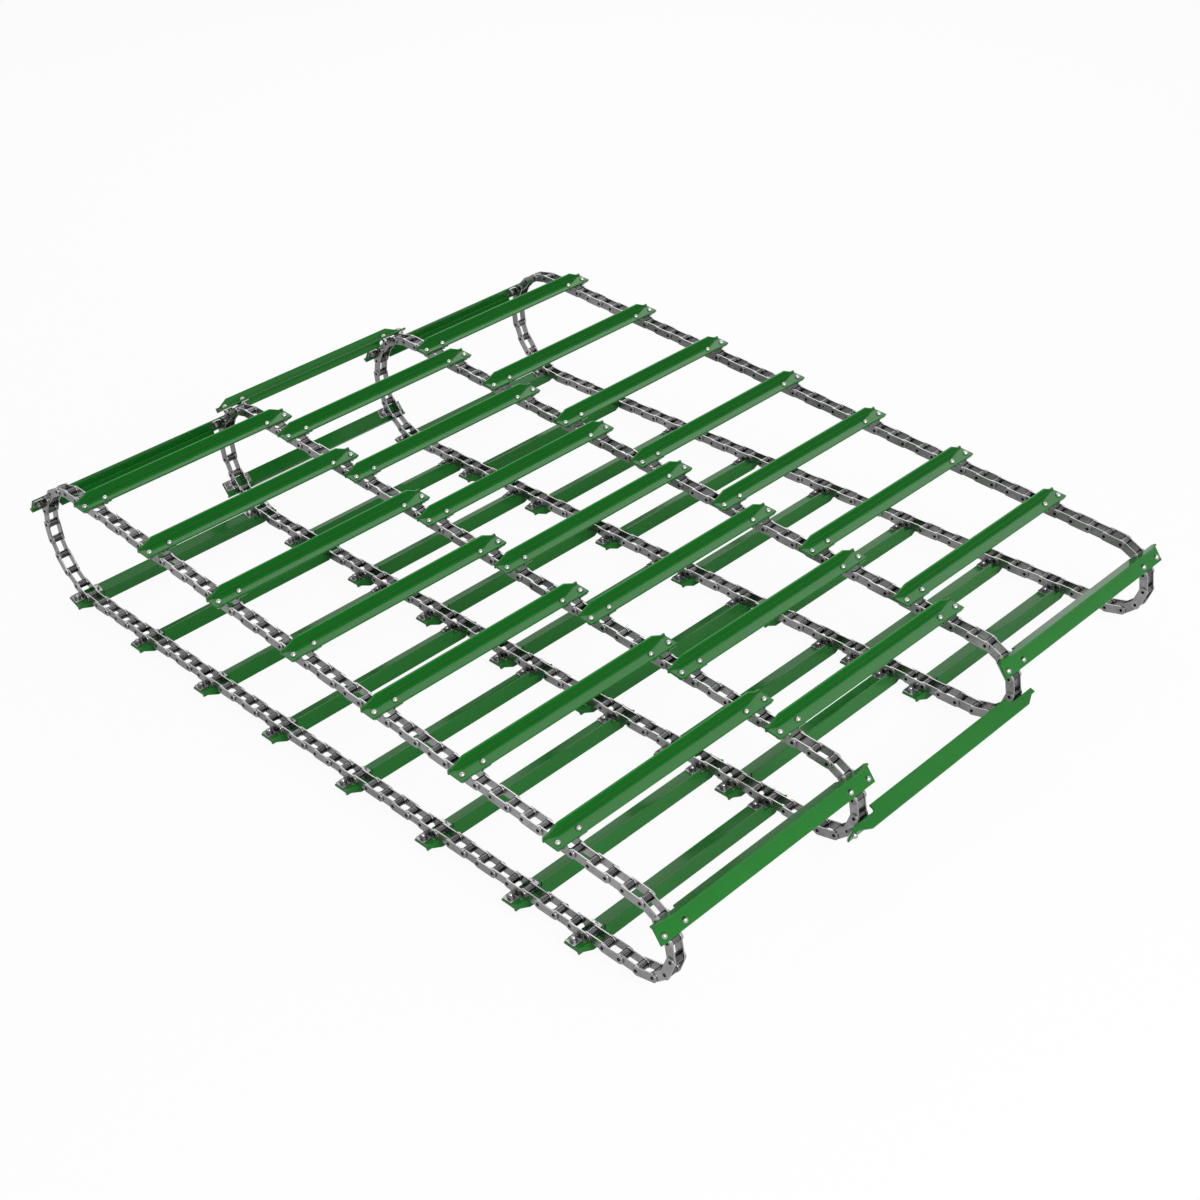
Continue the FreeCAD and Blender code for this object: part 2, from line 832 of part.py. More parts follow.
os.makedirs("parts", exist_ok=True)
for feature in nodes:
    feature.Shape.exportStep(os.path.join("parts", feature.Label + ".step"))
print(len(nodes), "nodes,", sum(len(feature.Shape.Solids) for feature in nodes), "solids")
print("straight run", straight_run, "origin shift", origin_shift)
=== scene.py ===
import json
import math

import bmesh
import bpy
import numpy as np
from mathutils import Euler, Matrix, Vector


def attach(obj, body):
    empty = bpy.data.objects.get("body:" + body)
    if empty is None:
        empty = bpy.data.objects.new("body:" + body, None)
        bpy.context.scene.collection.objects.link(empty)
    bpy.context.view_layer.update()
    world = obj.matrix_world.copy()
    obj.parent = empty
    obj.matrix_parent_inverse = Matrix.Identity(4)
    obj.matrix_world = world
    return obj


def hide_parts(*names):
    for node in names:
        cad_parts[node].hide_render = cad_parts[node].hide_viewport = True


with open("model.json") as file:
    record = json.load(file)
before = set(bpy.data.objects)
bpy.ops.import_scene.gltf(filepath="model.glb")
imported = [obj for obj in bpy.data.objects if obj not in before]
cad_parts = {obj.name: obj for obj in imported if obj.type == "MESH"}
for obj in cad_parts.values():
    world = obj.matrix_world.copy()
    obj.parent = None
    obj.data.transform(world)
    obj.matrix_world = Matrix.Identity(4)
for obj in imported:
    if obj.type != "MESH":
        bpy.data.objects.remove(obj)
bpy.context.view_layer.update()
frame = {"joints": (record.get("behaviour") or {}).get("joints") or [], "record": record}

# Slat conveyor chain: every link plate, roller, pin, slat and bolt is drawn once, in millimetres, in the
# axes of its own link (x along the chain, y across it, z outward from the loop), and set along the loop.

MM = 0.001

# Strands, side plates and bolting tabs: sizes in millimetres, as the solids have them
STRANDS = 4
ROWS = STRANDS - 1
STRAND_SPACING = 492.4
PLATE_THICKNESS = 2.6
PLATE_ROUND = 10.0
INNER_FACE = 9.9
OUTER_FACE = 12.8
TAB_HALF_WIDTH = 12.5
TAB_REACH = 36.4
TAB_END = TAB_REACH - OUTER_FACE
BEND_INSIDE = 2.0
BEND_OUTSIDE = BEND_INSIDE + PLATE_THICKNESS

# Pins, bushes and rollers, and the cotters' place
PIN_RADIUS = 3.6
PIN_RIM = 0.5
PIN_END = 16.2
CONNECTING_END = 20.9
COTTER_PLACE = 18.15
RUNNING_FIT = 0.05
BUSH_RADIUS = 5.5
BUSH_BORE = PIN_RADIUS + RUNNING_FIT
BUSH_END = 12.5
ROLLER_RADIUS = 8.45
ROLLER_BORE = BUSH_RADIUS + RUNNING_FIT
ROLLER_END = 9.6

# Slats
SLAT_SEAT = 15.8
BASE_TOP = 20.0
BASE_FRONT = 12.4
UPRIGHT_TOP = 36.8
UPRIGHT_REAR = -26.4
UPRIGHT_FRONT = -22.2
LIP_EDGE = -1.5
SECTION_FILLET = 2.5
SLAT_OVERHANG = 38.0
SLAT_LENGTH = STRAND_SPACING + 2 * SLAT_OVERHANG
BEVEL_LENGTH = 35.5
BEVEL_DROP = 12.6
BEVEL_STUB = 10.0
RELIEF_TOP = 12.8
RELIEF_INBOARD = 30.5
RELIEF_ROUND = 8.0

# Bolts and nuts
BOLT_OFFSET = 25.4
BOLT_RADIUS = 4.0
BOLT_END = 4.7
HEAD_RADIUS = 6.5
HEAD_HEIGHT = 6.2
NUT_HALF_WIDTH = 6.5
NUT_HEIGHT = 6.5

# Forms finer than the solids have: broken and rolled edges, rivet dishes, threads and folded cotters
PLATE_EDGE = 0.35
TAB_CORNER = 3.0
ROLLED_EDGE = 0.6
LEAST_FLAT = 0.2
LIP_CORNER_SLANT = 0.3
ROLLER_RIM = 0.7
PIN_RIM_MIDDLE = 0.3 * PIN_RIM
RIVET_DISH = 0.35
RIVET_FLOOR = 0.45 * PIN_RADIUS
RIVET_EDGE = 0.62 * PIN_RADIUS
COTTER_WIRE = 0.6
COTTER_EYE = 2.3
COTTER_TAIL = 3.2
COTTER_SPREAD = 2.2
COTTER_BEND = 0.45 * COTTER_SPREAD
COTTER_BEND_RISE = 1.2
COTTER_NECK = 0.3
HEAD_EDGE = 0.5
HEAD_UNDERCUT = 0.3
THREAD_PITCH = 1.25
THREAD_DEPTH = 0.6
NUT_CORNER = NUT_HALF_WIDTH / math.cos(math.pi / 6)
NUT_CORNER_TURN = 1.6 * (NUT_CORNER - NUT_HALF_WIDTH) * math.tan(math.pi / 6)
NUT_FIT = 0.02
NUT_MOUTH = 0.5

# How finely the curves are drawn
ROUND_STEPS = 14
BEND_STEPS = 5
TAB_CORNER_STEPS = 3
ROLLED_EDGE_STEPS = 3
FILLET_STEPS = 5
RELIEF_STEPS = 6
ROLLER_RIM_STEPS = 2
DOME_STEPS = 8
COTTER_EYE_STEPS = 14
ROLLER_SEGMENTS = 32
BUSH_SEGMENTS = 24
PIN_SEGMENTS = 20
FASTENER_SEGMENTS = 24
WIRE_SIDES = 8
WELD_WITHIN = 1e-4

# Links, counted from the first slat of the upper run; even links are outer links
LINKS = 102
FRONT_FIRST, FRONT_LINKS = 41, 6
REAR_FIRST, REAR_LINKS = 89, 11
LOWER_FIRST = FRONT_FIRST + FRONT_LINKS
UPPER_FIRST = REAR_FIRST + REAR_LINKS
CONNECTING_LINK = 52
OUTER_ROW = [0, 6, 12, 18, 24, 30, 36, 42, 50, 54, 60, 66, 72, 78, 84, 90, 96]
MIDDLE_ROW = [link + 2 for link in OUTER_ROW]
ROW_LINKS = [OUTER_ROW, MIDDLE_ROW, OUTER_ROW]

# The camera that took the photograph, fitted to the slat bolts: its place from the drive shaft's middle
# in metres, its turn in degrees, its lens and sensor in millimetres, and how far it sees in metres
CAMERA_OFFSET = (3.40636, -2.32465, 2.16182)
CAMERA_TURN = (56.1507, 3.0344, 45.0365)
CAMERA_LENS = 54.9887
CAMERA_SENSOR = 36.0
CAMERA_SIGHT = 100.0


# The loop's pins, from the frame's joints and mounts

JOINTS = frame["joints"]
MOUNTS = frame["record"]["mounts"]


def point_named(entries, name):
    """The (x, z) in millimetres of the joint or mount of that name."""
    for entry in entries:
        if entry["name"] == name:
            return np.array([entry["pos_m"][0], entry["pos_m"][2]]) / MM
    raise ValueError(name)


DRIVE = point_named(MOUNTS, "drive_sprocket_seat")
DRUM = point_named(MOUNTS, "front_drum_seat")


def loop_pins():
    """Every pin's (x, z): pivots round the front, points on the rear circle, and the straight runs."""
    pins = {}
    for number in range(FRONT_LINKS):
        pins[FRONT_FIRST + number] = point_named(JOINTS, "front_pivot_%02d" % (number + 1))
    pitch = np.linalg.norm(pins[FRONT_FIRST + 1] - pins[FRONT_FIRST])
    first_wrapped = point_named(JOINTS, "rear_lower_pivot")
    for number in range(LOWER_FIRST, REAR_FIRST + 1):
        pins[number] = first_wrapped + (REAR_FIRST - number) * np.array([pitch, 0.0])
    last_wrapped = point_named(JOINTS, "rear_upper_pivot")
    spoke = last_wrapped - DRIVE
    wrap_radius = np.linalg.norm(spoke)
    last_angle = math.atan2(spoke[1], spoke[0])
    link_angle = 2 * math.asin(pitch / (2 * wrap_radius))
    for step in range(REAR_LINKS):
        angle = last_angle + step * link_angle
        spoke_end = wrap_radius * np.array([math.cos(angle), math.sin(angle)])
        pins[UPPER_FIRST - step] = DRIVE + spoke_end
    slope = 2 * math.atan2(DRIVE[1] - DRUM[1], DRUM[0] - DRIVE[0])
    along = np.array([math.cos(slope), -math.sin(slope)])
    outward = np.array([math.sin(slope), math.cos(slope)])
    drop = wrap_radius - spoke @ outward
    first_straight = last_wrapped + drop * outward + math.sqrt(pitch ** 2 - drop ** 2) * along
    for step, number in enumerate([LINKS - 1] + list(range(FRONT_FIRST))):
        pins[number] = first_straight + step * pitch * along
    return pins, pitch


PINS, PITCH = loop_pins()
HALF_PITCH = PITCH / 2
STRAND_PLACES = [(strand - (STRANDS - 1) / 2) * STRAND_SPACING for strand in range(STRANDS)]


# Frames along the loop

HALF_TURN = np.diag([-1.0, -1.0, 1.0])


def link_axes(link, turned):
    """Unit axes of a link as columns: along, across, outward; or turned half round the outward one."""
    chord = PINS[(link + 1) % LINKS] - PINS[link % LINKS]
    along = np.array([chord[0], 0.0, chord[1]]) / np.linalg.norm(chord)
    across = np.array([0.0, 1.0, 0.0])
    axes = np.column_stack([along, across, np.cross(along, across)])
    return axes @ HALF_TURN if turned else axes


def link_frame(link, across, turned=False):
    """A link's axes and its middle, at a place across the strands."""
    middle = (PINS[link % LINKS] + PINS[(link + 1) % LINKS]) / 2
    return link_axes(link, turned), np.array([middle[0], across, middle[1]])


def pin_frame(pin, link, across, turned=False):
    """A link's axes and the middle of one of its pins, at a place across the strands."""
    place = PINS[pin % LINKS]
    return link_axes(link, turned), np.array([place[0], across, place[1]])


def is_inner(link):
    return link % 2 == 1


def carries_slat(link, strand):
    rows = [row for row in (strand - 1, strand) if 0 <= row < ROWS]
    return any(link in ROW_LINKS[row] for row in rows)


def lacks_tabs(link, strand):
    return not carries_slat(link, strand)


def every_strand(link, strand):
    return True


def plate_frames(links, wanted):
    """Both side plates of the links on every strand that the test wants."""
    frames = []
    for link in links:
        for strand, across in enumerate(STRAND_PLACES):
            if wanted(link, strand):
                frames.append(link_frame(link, across))
                frames.append(link_frame(link, across, turned=True))
    return frames


def both_pin_frames(links):
    """The two pin places of each link, on every strand."""
    return [pin_frame(pin, link, across)
            for link in links for across in STRAND_PLACES for pin in (link, link + 1)]


def slat_frames(links, rows):
    """The places of the slats' near ends."""
    return [link_frame(link, STRAND_PLACES[row] - SLAT_OVERHANG)
            for link in links for row in rows if link in ROW_LINKS[row]]


def bolt_frames(links):
    """The four bolts of each slat, two beside each strand that it crosses."""
    frames = []
    for link in links:
        for row in range(ROWS):
            if link in ROW_LINKS[row]:
                for strand in (row, row + 1):
                    for side in (-BOLT_OFFSET, BOLT_OFFSET):
                        frames.append(link_frame(link, STRAND_PLACES[strand] + side))
    return frames


# Drawing one piece of each kind: its points, its faces, and a 1 for each face that is marked

def take_mesh(drawing, is_marked=None):
    """The points, faces and marks of a finished bmesh, which is then freed."""
    bmesh.ops.recalc_face_normals(drawing, faces=drawing.faces[:])
    drawing.normal_update()
    drawing.verts.index_update()
    points = np.array([vert.co for vert in drawing.verts], float)
    faces = [[vert.index for vert in face.verts] for face in drawing.faces]
    marks = [float(is_marked(face)) if is_marked else 0.0 for face in drawing.faces]
    drawing.free()
    return points, faces, marks


def rounded(corners):
    """A closed outline from (x, y, radius, steps) corners, each turned by an arc."""
    points = []
    for index, (x, y, radius, steps) in enumerate(corners):
        corner = np.array([x, y], float)
        before = np.array(corners[index - 1][:2], float) - corner
        after = np.array(corners[(index + 1) % len(corners)][:2], float) - corner
        before /= np.linalg.norm(before)
        after /= np.linalg.norm(after)
        if radius == 0:
            points.append(corner)
            continue
        half = math.acos(np.clip(before @ after, -1, 1)) / 2
        middle = (before + after) / np.linalg.norm(before + after)
        centre = corner + middle * radius / math.sin(half)
        start = corner + before * radius / math.tan(half) - centre
        end = corner + after * radius / math.tan(half) - centre
        for step in range(steps + 1):
            mixed = start * (steps - step) + end * step
            points.append(centre + mixed / np.linalg.norm(mixed) * radius)
    return [tuple(point) for point in points]


def turned_ring(profile, segments, closed, axis, reach=None):
    """A profile of (radius, place) turned about the y or z axis; reach limits a radius by its angle."""
    drawing = bmesh.new()
    rings = []
    for radius, place in profile:
        ring = []
        for step in range(segments if radius > 0 else 1):
            angle = 2 * math.pi * step / segments
            length = min(radius, reach(angle)) if reach else radius
            side, front = length * math.cos(angle), length * math.sin(angle)
            point = (side, place, front) if axis == "y" else (side, front, place)
            ring.append(drawing.verts.new(point))
        rings.append(ring)
    following = rings[1:] + rings[:1] if closed else rings[1:]
    for lower, upper in zip(rings, following):
        for step in range(segments):
            corners = []
            for ring, place in ((lower, step), (lower, step + 1), (upper, step + 1), (upper, step)):
                vert = ring[place % len(ring)]
                if vert not in corners:
                    corners.append(vert)
            if len(corners) > 2:
                drawing.faces.new(corners)
    return take_mesh(drawing)


def join_loops(drawing, outer, inner):
    for index in range(len(outer)):
        after = (index + 1) % len(outer)
        drawing.faces.new([outer[index], outer[after], inner[after], inner[index]])


def join_rings(drawing, rings, is_marked=None):
    """A closed skin along a row of rings, capped at both ends."""
    for lower, upper in zip(rings, rings[1:]):
        join_loops(drawing, lower, upper)
    drawing.faces.new(rings[0])
    drawing.faces.new(rings[-1])
    return take_mesh(drawing, is_marked)


def ring_in_sheet(drawing, outline, centre, radius, lift):
    """A flat ring between an outline and a round hole, lifted into place."""
    outer = [drawing.verts.new(lift(x, y)) for x, y in outline]
    inner = []
    for x, y in outline:
        angle = math.atan2(y - centre[1], x - centre[0])
        hole = (centre[0] + radius * math.cos(angle), centre[1] + radius * math.sin(angle))
        inner.append(drawing.verts.new(lift(*hole)))
    join_loops(drawing, outer, inner)


# Side plates

TAB_COLUMNS = [-TAB_HALF_WIDTH, -TAB_HALF_WIDTH / 2, 0.0, TAB_HALF_WIDTH / 2, TAB_HALF_WIDTH]
SHARP = math.radians(50)
RIM_LEAN = 0.7
HOLE_MARGIN = 0.2


def half_plate_outline(side):
    """One end of a link plate, from its middle line round the pin: x along, y outward."""
    columns = [0.0, TAB_HALF_WIDTH / 2, TAB_HALF_WIDTH]
    top = [(x, PLATE_ROUND) for x in columns]
    end = []
    for step in range(ROUND_STEPS + 1):
        angle = math.pi / 2 - math.pi * step / ROUND_STEPS
        end.append((HALF_PITCH + PLATE_ROUND * math.cos(angle), PLATE_ROUND * math.sin(angle)))
    bottom = [(x, -PLATE_ROUND) for x in reversed(columns)]
    middle = [(0.0, -PLATE_ROUND / 2), (0.0, 0.0), (0.0, PLATE_ROUND / 2)]
    return [(side * x, y) for x, y in top + end + bottom + middle]


def flat_plate(drawing, hole_radius):
    for side in (1, -1):
        ring_in_sheet(drawing, half_plate_outline(side), (side * HALF_PITCH, 0.0), hole_radius,
                      lambda x, y: (x, 0.0, y))


# A plate's rim faces are marked for the painted highlight.
def is_rim(face):
    """Whether a plate's face is part of its narrow edge, where the plate stands and where its tab lies."""
    middle = face.calc_center_median()
    if middle.z < PLATE_ROUND + PLATE_EDGE:
        return abs(face.normal.y) < RIM_LEAN
    return abs(face.normal.x) > RIM_LEAN or middle.y > TAB_END - PLATE_EDGE


def runs_round_hole(edge, hole_radius):
    """Whether an edge is at the mouth of one of a plate's two holes."""
    middle = (edge.verts[0].co + edge.verts[1].co) / 2
    return math.hypot(abs(middle.x) - HALF_PITCH, middle.z) < hole_radius + HOLE_MARGIN


def thicken(drawing, face, hole_radius):
    """Gives a sheet its thickness away from the strand, and breaks and marks its outer edges."""
    bmesh.ops.remove_doubles(drawing, verts=drawing.verts[:], dist=WELD_WITHIN)
    bmesh.ops.recalc_face_normals(drawing, faces=drawing.faces[:])
    drawing.faces.ensure_lookup_table()
    if drawing.faces[0].normal.y > 0:
        bmesh.ops.reverse_faces(drawing, faces=drawing.faces[:])
    bmesh.ops.solidify(drawing, geom=drawing.faces[:], thickness=PLATE_THICKNESS)
    bmesh.ops.recalc_face_normals(drawing, faces=drawing.faces[:])
    rims = []
    for edge in drawing.edges:
        if edge.is_manifold and edge.calc_face_angle() > SHARP and not runs_round_hole(edge, hole_radius):
            rims.append(edge)
    bmesh.ops.bevel(drawing, geom=rims, offset=PLATE_EDGE, segments=2, profile=0.5, affect="EDGES")
    points, faces, marks = take_mesh(drawing, is_rim)
    points[:, 1] += face
    return points, faces, marks


def link_plate(hole_radius, face):
    """A round-ended side plate with its two holes."""
    drawing = bmesh.new()
    flat_plate(drawing, hole_radius)
    return thicken(drawing, face, hole_radius)


def tab_outline():
    """The bolting tab past its bend: x along the chain, y out from the plate's inner face."""
    halfway = (BEND_OUTSIDE + TAB_END) / 2
    near = [(x, BEND_OUTSIDE) for x in TAB_COLUMNS]
    right = [(TAB_HALF_WIDTH, halfway)]
    corner_side = TAB_HALF_WIDTH - TAB_CORNER
    corner_out = TAB_END - TAB_CORNER
    corner_right = []
    corner_left = []
    for step in range(TAB_CORNER_STEPS + 1):
        angle = math.pi / 2 * step / TAB_CORNER_STEPS
        cos_part, sin_part = TAB_CORNER * math.cos(angle), TAB_CORNER * math.sin(angle)
        corner_right.append((corner_side + cos_part, corner_out + sin_part))
        corner_left.append((-corner_side - sin_part, corner_out + cos_part))
    far = [(x, TAB_END) for x in reversed(TAB_COLUMNS[1:-1])]
    left = [(-TAB_HALF_WIDTH, halfway)]
    return near + right + corner_right + far + corner_left + left


def attachment_plate():
    """An outer plate whose middle rises, bends away from the strand and ends in a bolting tab."""
    drawing = bmesh.new()
    flat_plate(drawing, PIN_RADIUS)
    rows = [(0.0, PLATE_ROUND)]
    for step in range(BEND_STEPS + 1):
        angle = math.pi / 2 * step / BEND_STEPS
        out = BEND_OUTSIDE - BEND_OUTSIDE * math.cos(angle)
        rows.append((out, SLAT_SEAT - BEND_OUTSIDE + BEND_OUTSIDE * math.sin(angle)))
    for (out, up), (next_out, next_up) in zip(rows, rows[1:]):
        for x, next_x in zip(TAB_COLUMNS, TAB_COLUMNS[1:]):
            corners = [(x, out, up), (next_x, out, up), (next_x, next_out, next_up), (x, next_out, next_up)]
            drawing.faces.new([drawing.verts.new(corner) for corner in corners])
    bolt_place = BOLT_OFFSET - OUTER_FACE
    ring_in_sheet(drawing, tab_outline(), (0.0, bolt_place), BOLT_RADIUS, lambda x, y: (x, y, SLAT_SEAT))
    return thicken(drawing, OUTER_FACE, PIN_RADIUS)


# Rollers, bushes, pins and cotters

def roller():
    """A turned roller with rounded rims."""
    corners = [
        (ROLLER_BORE, -ROLLER_END, 0, 0),
        (ROLLER_RADIUS, -ROLLER_END, ROLLER_RIM, ROLLER_RIM_STEPS),
        (ROLLER_RADIUS, ROLLER_END, ROLLER_RIM, ROLLER_RIM_STEPS),
        (ROLLER_BORE, ROLLER_END, 0, 0),
    ]
    return turned_ring(rounded(corners), ROLLER_SEGMENTS, True, "y")


def bush():
    """A plain tube on its pin."""
    profile = [
        (BUSH_BORE, -BUSH_END),
        (BUSH_RADIUS, -BUSH_END),
        (BUSH_RADIUS, BUSH_END),
        (BUSH_BORE, BUSH_END),
    ]
    return turned_ring(profile, BUSH_SEGMENTS, True, "y")


def riveted_pin(start, end):
    """A pin with rounded rims and a shallow rivet dish in each end."""
    pin_head = [
        (0.0, RIVET_DISH),
        (RIVET_FLOOR, RIVET_DISH),
        (RIVET_EDGE, 0.0),
        (PIN_RADIUS - PIN_RIM, 0.0),
        (PIN_RADIUS - PIN_RIM_MIDDLE, PIN_RIM_MIDDLE),
        (PIN_RADIUS, PIN_RIM),
    ]
    profile = [(radius, start + depth) for radius, depth in pin_head]
    profile += [(radius, end - depth) for radius, depth in reversed(pin_head)]
    return turned_ring(profile, PIN_SEGMENTS, False, "y")


def wire_along(path):
    """The cotter's round wire along a path of (x, z) points that lies across the pin."""
    drawing = bmesh.new()
    rings = []
    path = np.array(path)
    for index, point in enumerate(path):
        ahead = path[min(index + 1, len(path) - 1)] - path[max(index - 1, 0)]
        ahead /= np.linalg.norm(ahead)
        sideways = np.array([-ahead[1], ahead[0]])
        ring = []
        for step in range(WIRE_SIDES):
            angle = 2 * math.pi * step / WIRE_SIDES
            flat = point + sideways * COTTER_WIRE * math.cos(angle)
            place = COTTER_PLACE + COTTER_WIRE * math.sin(angle)
            ring.append(drawing.verts.new((flat[0], place, flat[1])))
        rings.append(ring)
    return join_rings(drawing, rings)


def cotter():
    """A folded wire cotter: an eye outside the pin, two legs through it, spread behind."""
    side = COTTER_WIRE
    eye_middle = PIN_RADIUS + COTTER_EYE + COTTER_WIRE
    neck = eye_middle - math.sqrt(COTTER_EYE ** 2 - side ** 2) - COTTER_NECK
    leg_end = -PIN_RADIUS - COTTER_TAIL
    right_leg = [
        (side + COTTER_SPREAD, leg_end),
        (side + COTTER_BEND, leg_end + COTTER_BEND_RISE),
        (side, -PIN_RADIUS),
        (side, 0.0),
        (side, neck),
    ]
    left_leg = [(-x, z) for x, z in reversed(right_leg)]
    eye = []
    turn = math.asin(side / COTTER_EYE)
    for step in range(COTTER_EYE_STEPS + 1):
        angle = turn + (2 * math.pi - 2 * turn) * step / COTTER_EYE_STEPS
        eye.append((COTTER_EYE * math.sin(angle), eye_middle - COTTER_EYE * math.cos(angle)))
    return wire_along(right_leg + eye + left_leg)


# Slats

def slat_section(top, lip):
    """The slat's section as (x, z): upright with a lip below and a base flange, with rolled edges."""
    fillet_below = min(SECTION_FILLET, SLAT_SEAT - lip - ROLLED_EDGE - LEAST_FLAT)
    return rounded([
        (UPRIGHT_REAR, lip, ROLLED_EDGE, ROLLED_EDGE_STEPS),
        (UPRIGHT_FRONT, lip, ROLLED_EDGE, ROLLED_EDGE_STEPS),
        (UPRIGHT_FRONT, SLAT_SEAT, fillet_below, FILLET_STEPS),
        (BASE_FRONT, SLAT_SEAT, ROLLED_EDGE, ROLLED_EDGE_STEPS),
        (BASE_FRONT, BASE_TOP, ROLLED_EDGE, ROLLED_EDGE_STEPS),
        (UPRIGHT_FRONT, BASE_TOP, SECTION_FILLET, FILLET_STEPS),
        (UPRIGHT_FRONT, top, ROLLED_EDGE, ROLLED_EDGE_STEPS),
        (UPRIGHT_REAR, top, ROLLED_EDGE, ROLLED_EDGE_STEPS),
    ])


def slat_end_stations():
    """(distance from the slat's end, upright height, lip height) where the section changes."""
    bevel_foot = UPRIGHT_TOP - BEVEL_DROP
    stations = [
        (0.0, bevel_foot, RELIEF_TOP),
        (BEVEL_STUB, bevel_foot, RELIEF_TOP),
        (BEVEL_LENGTH, UPRIGHT_TOP, RELIEF_TOP),
    ]
    step_place = SLAT_OVERHANG + RELIEF_INBOARD
    for step in range(RELIEF_STEPS + 1):
        angle = math.pi / 2 * step / RELIEF_STEPS
        along = step_place - RELIEF_ROUND + RELIEF_ROUND * math.sin(angle)
        stations.append((along, UPRIGHT_TOP, RELIEF_TOP - RELIEF_ROUND + RELIEF_ROUND * math.cos(angle)))
    stations.append((step_place + LIP_CORNER_SLANT, UPRIGHT_TOP, LIP_EDGE))
    return stations


# The faces in the fold are marked for the painted shade line.
def is_fold(face):
    """Whether a slat's face is part of the inside corner between its base and its upright."""
    middle = face.calc_center_median()
    past_upright = middle.x - UPRIGHT_FRONT
    above_base = middle.z - BASE_TOP
    return 0 < past_upright < SECTION_FILLET and 0 < above_base < SECTION_FILLET


def slat():
    """A cross slat: its section carried along, with bevelled ends and reliefs over the chains."""
    drawing = bmesh.new()
    near = slat_end_stations()
    far = [(SLAT_LENGTH - along, top, lip) for along, top, lip in reversed(near)]
    rings = []
    for along, top, lip in near + [(SLAT_LENGTH / 2, UPRIGHT_TOP, LIP_EDGE)] + far:
        rings.append([drawing.verts.new((x, along, z)) for x, z in slat_section(top, lip)])
    return join_rings(drawing, rings, is_fold)


# Bolts and nuts

def dome_bolt():
    """A domed bolt head on the slat, its thread showing past the nut."""
    sphere = (HEAD_RADIUS ** 2 + HEAD_HEIGHT ** 2) / (2 * HEAD_HEIGHT)
    rim_angle = math.asin(HEAD_RADIUS / sphere)
    profile = [(0.0, BASE_TOP + HEAD_HEIGHT)]
    for step in range(1, DOME_STEPS):
        angle = rim_angle * step / DOME_STEPS
        profile.append((sphere * math.sin(angle), BASE_TOP + HEAD_HEIGHT - sphere * (1 - math.cos(angle))))
    profile.append((HEAD_RADIUS, BASE_TOP + HEAD_EDGE))
    profile.append((HEAD_RADIUS - HEAD_UNDERCUT, BASE_TOP))
    profile.append((BOLT_RADIUS, BASE_TOP))
    place = SLAT_SEAT - PLATE_THICKNESS - NUT_HEIGHT + THREAD_PITCH
    while place > BOLT_END + THREAD_PITCH:
        profile.append((BOLT_RADIUS, place))
        profile.append((BOLT_RADIUS - THREAD_DEPTH, place - THREAD_PITCH / 2))
        place -= THREAD_PITCH
    profile.append((BOLT_RADIUS, place))
    profile.append((BOLT_RADIUS - THREAD_DEPTH, BOLT_END))
    profile.append((0.0, BOLT_END))
    return turned_ring(profile, FASTENER_SEGMENTS, False, "z")


def hexagon(angle):
    """How far out a nut's flats are at an angle."""
    return NUT_HALF_WIDTH / math.cos((angle % (math.pi / 3)) - math.pi / 6)


def hexagon_nut():
    """A hexagon nut under the tab, its corners turned off at both faces."""
    seat = SLAT_SEAT - PLATE_THICKNESS
    foot = seat - NUT_HEIGHT
    bore = BOLT_RADIUS - NUT_FIT
    profile = [
        (bore, seat),
        (NUT_HALF_WIDTH, seat),
        (NUT_CORNER, seat - NUT_CORNER_TURN),
        (NUT_CORNER, foot + NUT_CORNER_TURN),
        (NUT_HALF_WIDTH, foot),
        (bore + NUT_MOUTH, foot),
        (bore, foot + NUT_MOUTH),
    ]
    return turned_ring(profile, FASTENER_SEGMENTS, True, "z", hexagon)


# Finishes

# Widths and depth of the patterns in millimetres. Tumbling leaves dimples of about 0.3 mm: they are drawn
# coarser, or they would not show.
PAINT_CLOUD = 90.0
ORANGE_PEEL = 2.5
TUMBLED_GRIT = 1.2
BUMP_DEPTH = 0.1

# The part of a noise's values that is used, and how much of a steel's tone is the piece's own
NOISE_LOW, NOISE_HIGH = 0.3, 0.7
MOTTLE_LOW, MOTTLE_HIGH = 0.35, 1.15
OWN_TONE_SHARE = 0.5


def colour(text):
    """An sRGB hex value as the linear colour that the shaders take."""
    channels = []
    for start in (1, 3, 5):
        value = int(text[start:start + 2], 16) / 255
        channels.append(value / 12.92 if value <= 0.04045 else ((value + 0.055) / 1.055) ** 2.4)
    return (*channels, 1.0)


def per_metre(size_mm):
    """The texture scale at which one feature is that many millimetres wide."""
    return 1.0 / (size_mm * MM)


def add_node(owner, kind, settings=None, inputs=None):
    """One shader node of a material or a world, its inputs set to values or linked to other outputs."""
    node = owner.node_tree.nodes.new(kind)
    for name, value in (settings or {}).items():
        setattr(node, name, value)
    for name, value in (inputs or {}).items():
        if isinstance(value, bpy.types.NodeSocket):
            owner.node_tree.links.new(value, node.inputs[name])
        else:
            node.inputs[name].default_value = value
    return node


def clear_nodes(owner):
    owner.use_nodes = True
    owner.node_tree.nodes.clear()
    return owner


